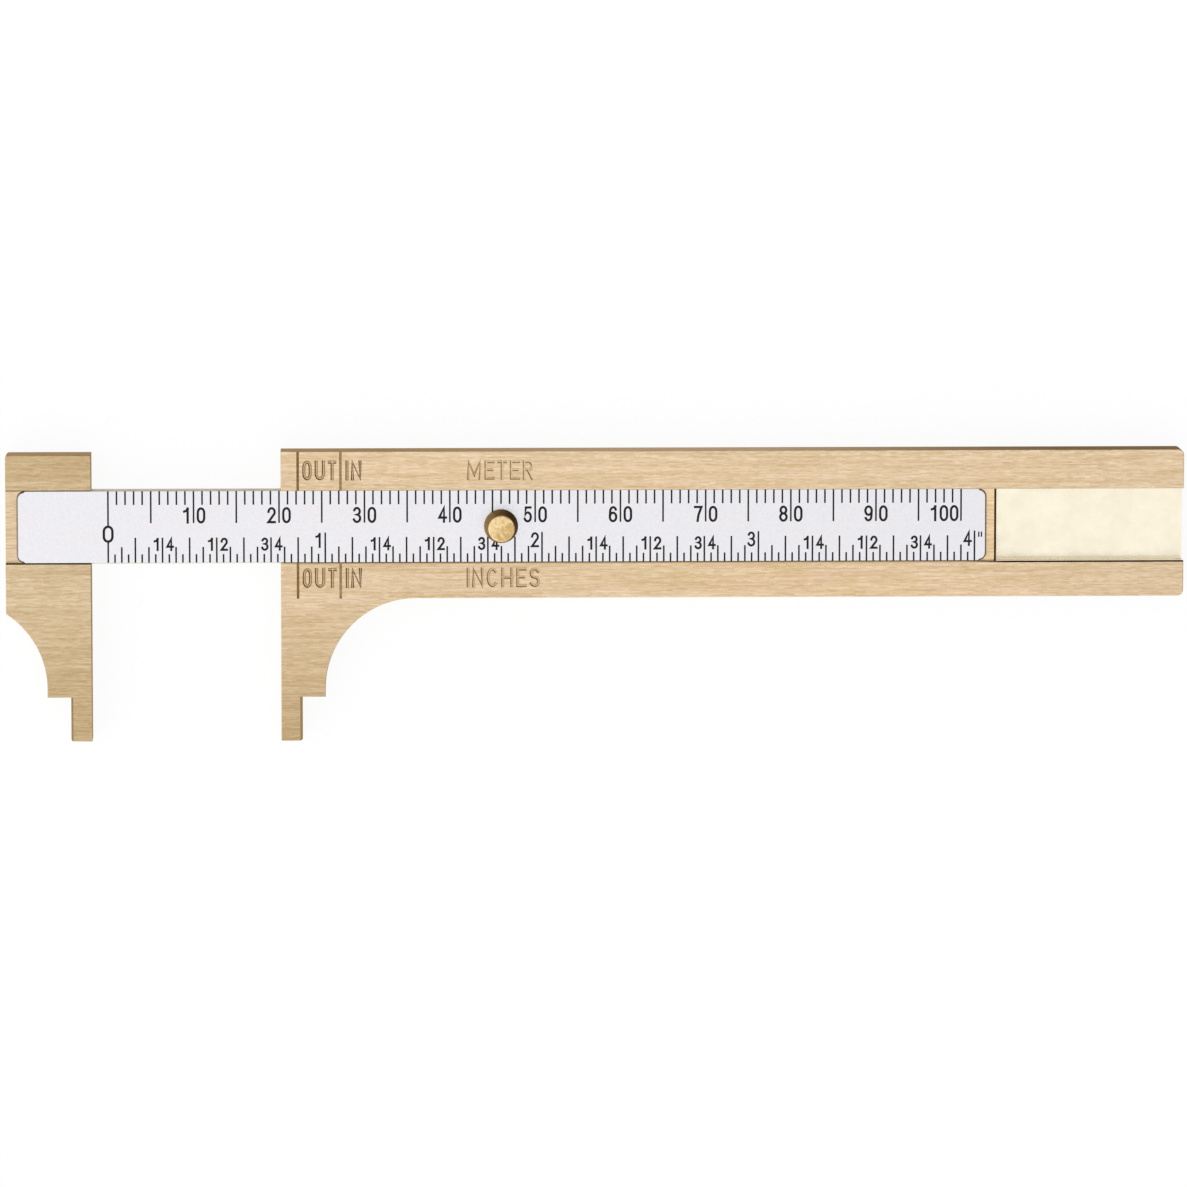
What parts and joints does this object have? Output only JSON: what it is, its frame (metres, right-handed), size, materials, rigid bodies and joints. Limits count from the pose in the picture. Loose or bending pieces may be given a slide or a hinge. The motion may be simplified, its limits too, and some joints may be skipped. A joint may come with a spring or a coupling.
{
  "type": "pocket caliper",
  "caption": "Brass pocket caliper: a slide with a moving jaw, metric and inch scale and thumb stud runs in a channelled frame with a fixed jaw, for outside and inside measures.",
  "frame": {"origin": "on the back face, on the slide's centre line, in the plane of the fixed jaw's measuring face", "axes": "+X along the frame away from the moving jaw, +Y from the jaws towards the upper rail, +Z out of the front face with the scale"},
  "size_m": [0.1382, 0.0341, 0.0071],
  "materials": {
    "brass": "brushed lengthwise",
    "aluminium": "satin",
    "steel": "ground",
    "spring_bronze": "rolled",
    "adhesive": "translucent film"
  },
  "bodies": {
    "frame_body": {"frame": "brass", "stop_pin": "steel", "friction_spring": "spring_bronze"},
    "slide_body": {"slide_bar": "brass", "moving_jaw": "brass", "jaw_pins": "brass", "adhesive_film": "adhesive", "scale_plate": "aluminium", "thumb_stud": "brass"}
  },
  "joints": [
    {"name": "slide", "type": "slide", "parent": "frame_body", "child": "slide_body", "axis": [-1, 0, 0], "range_m": [-0.0222, 0.0798]}
  ]
}
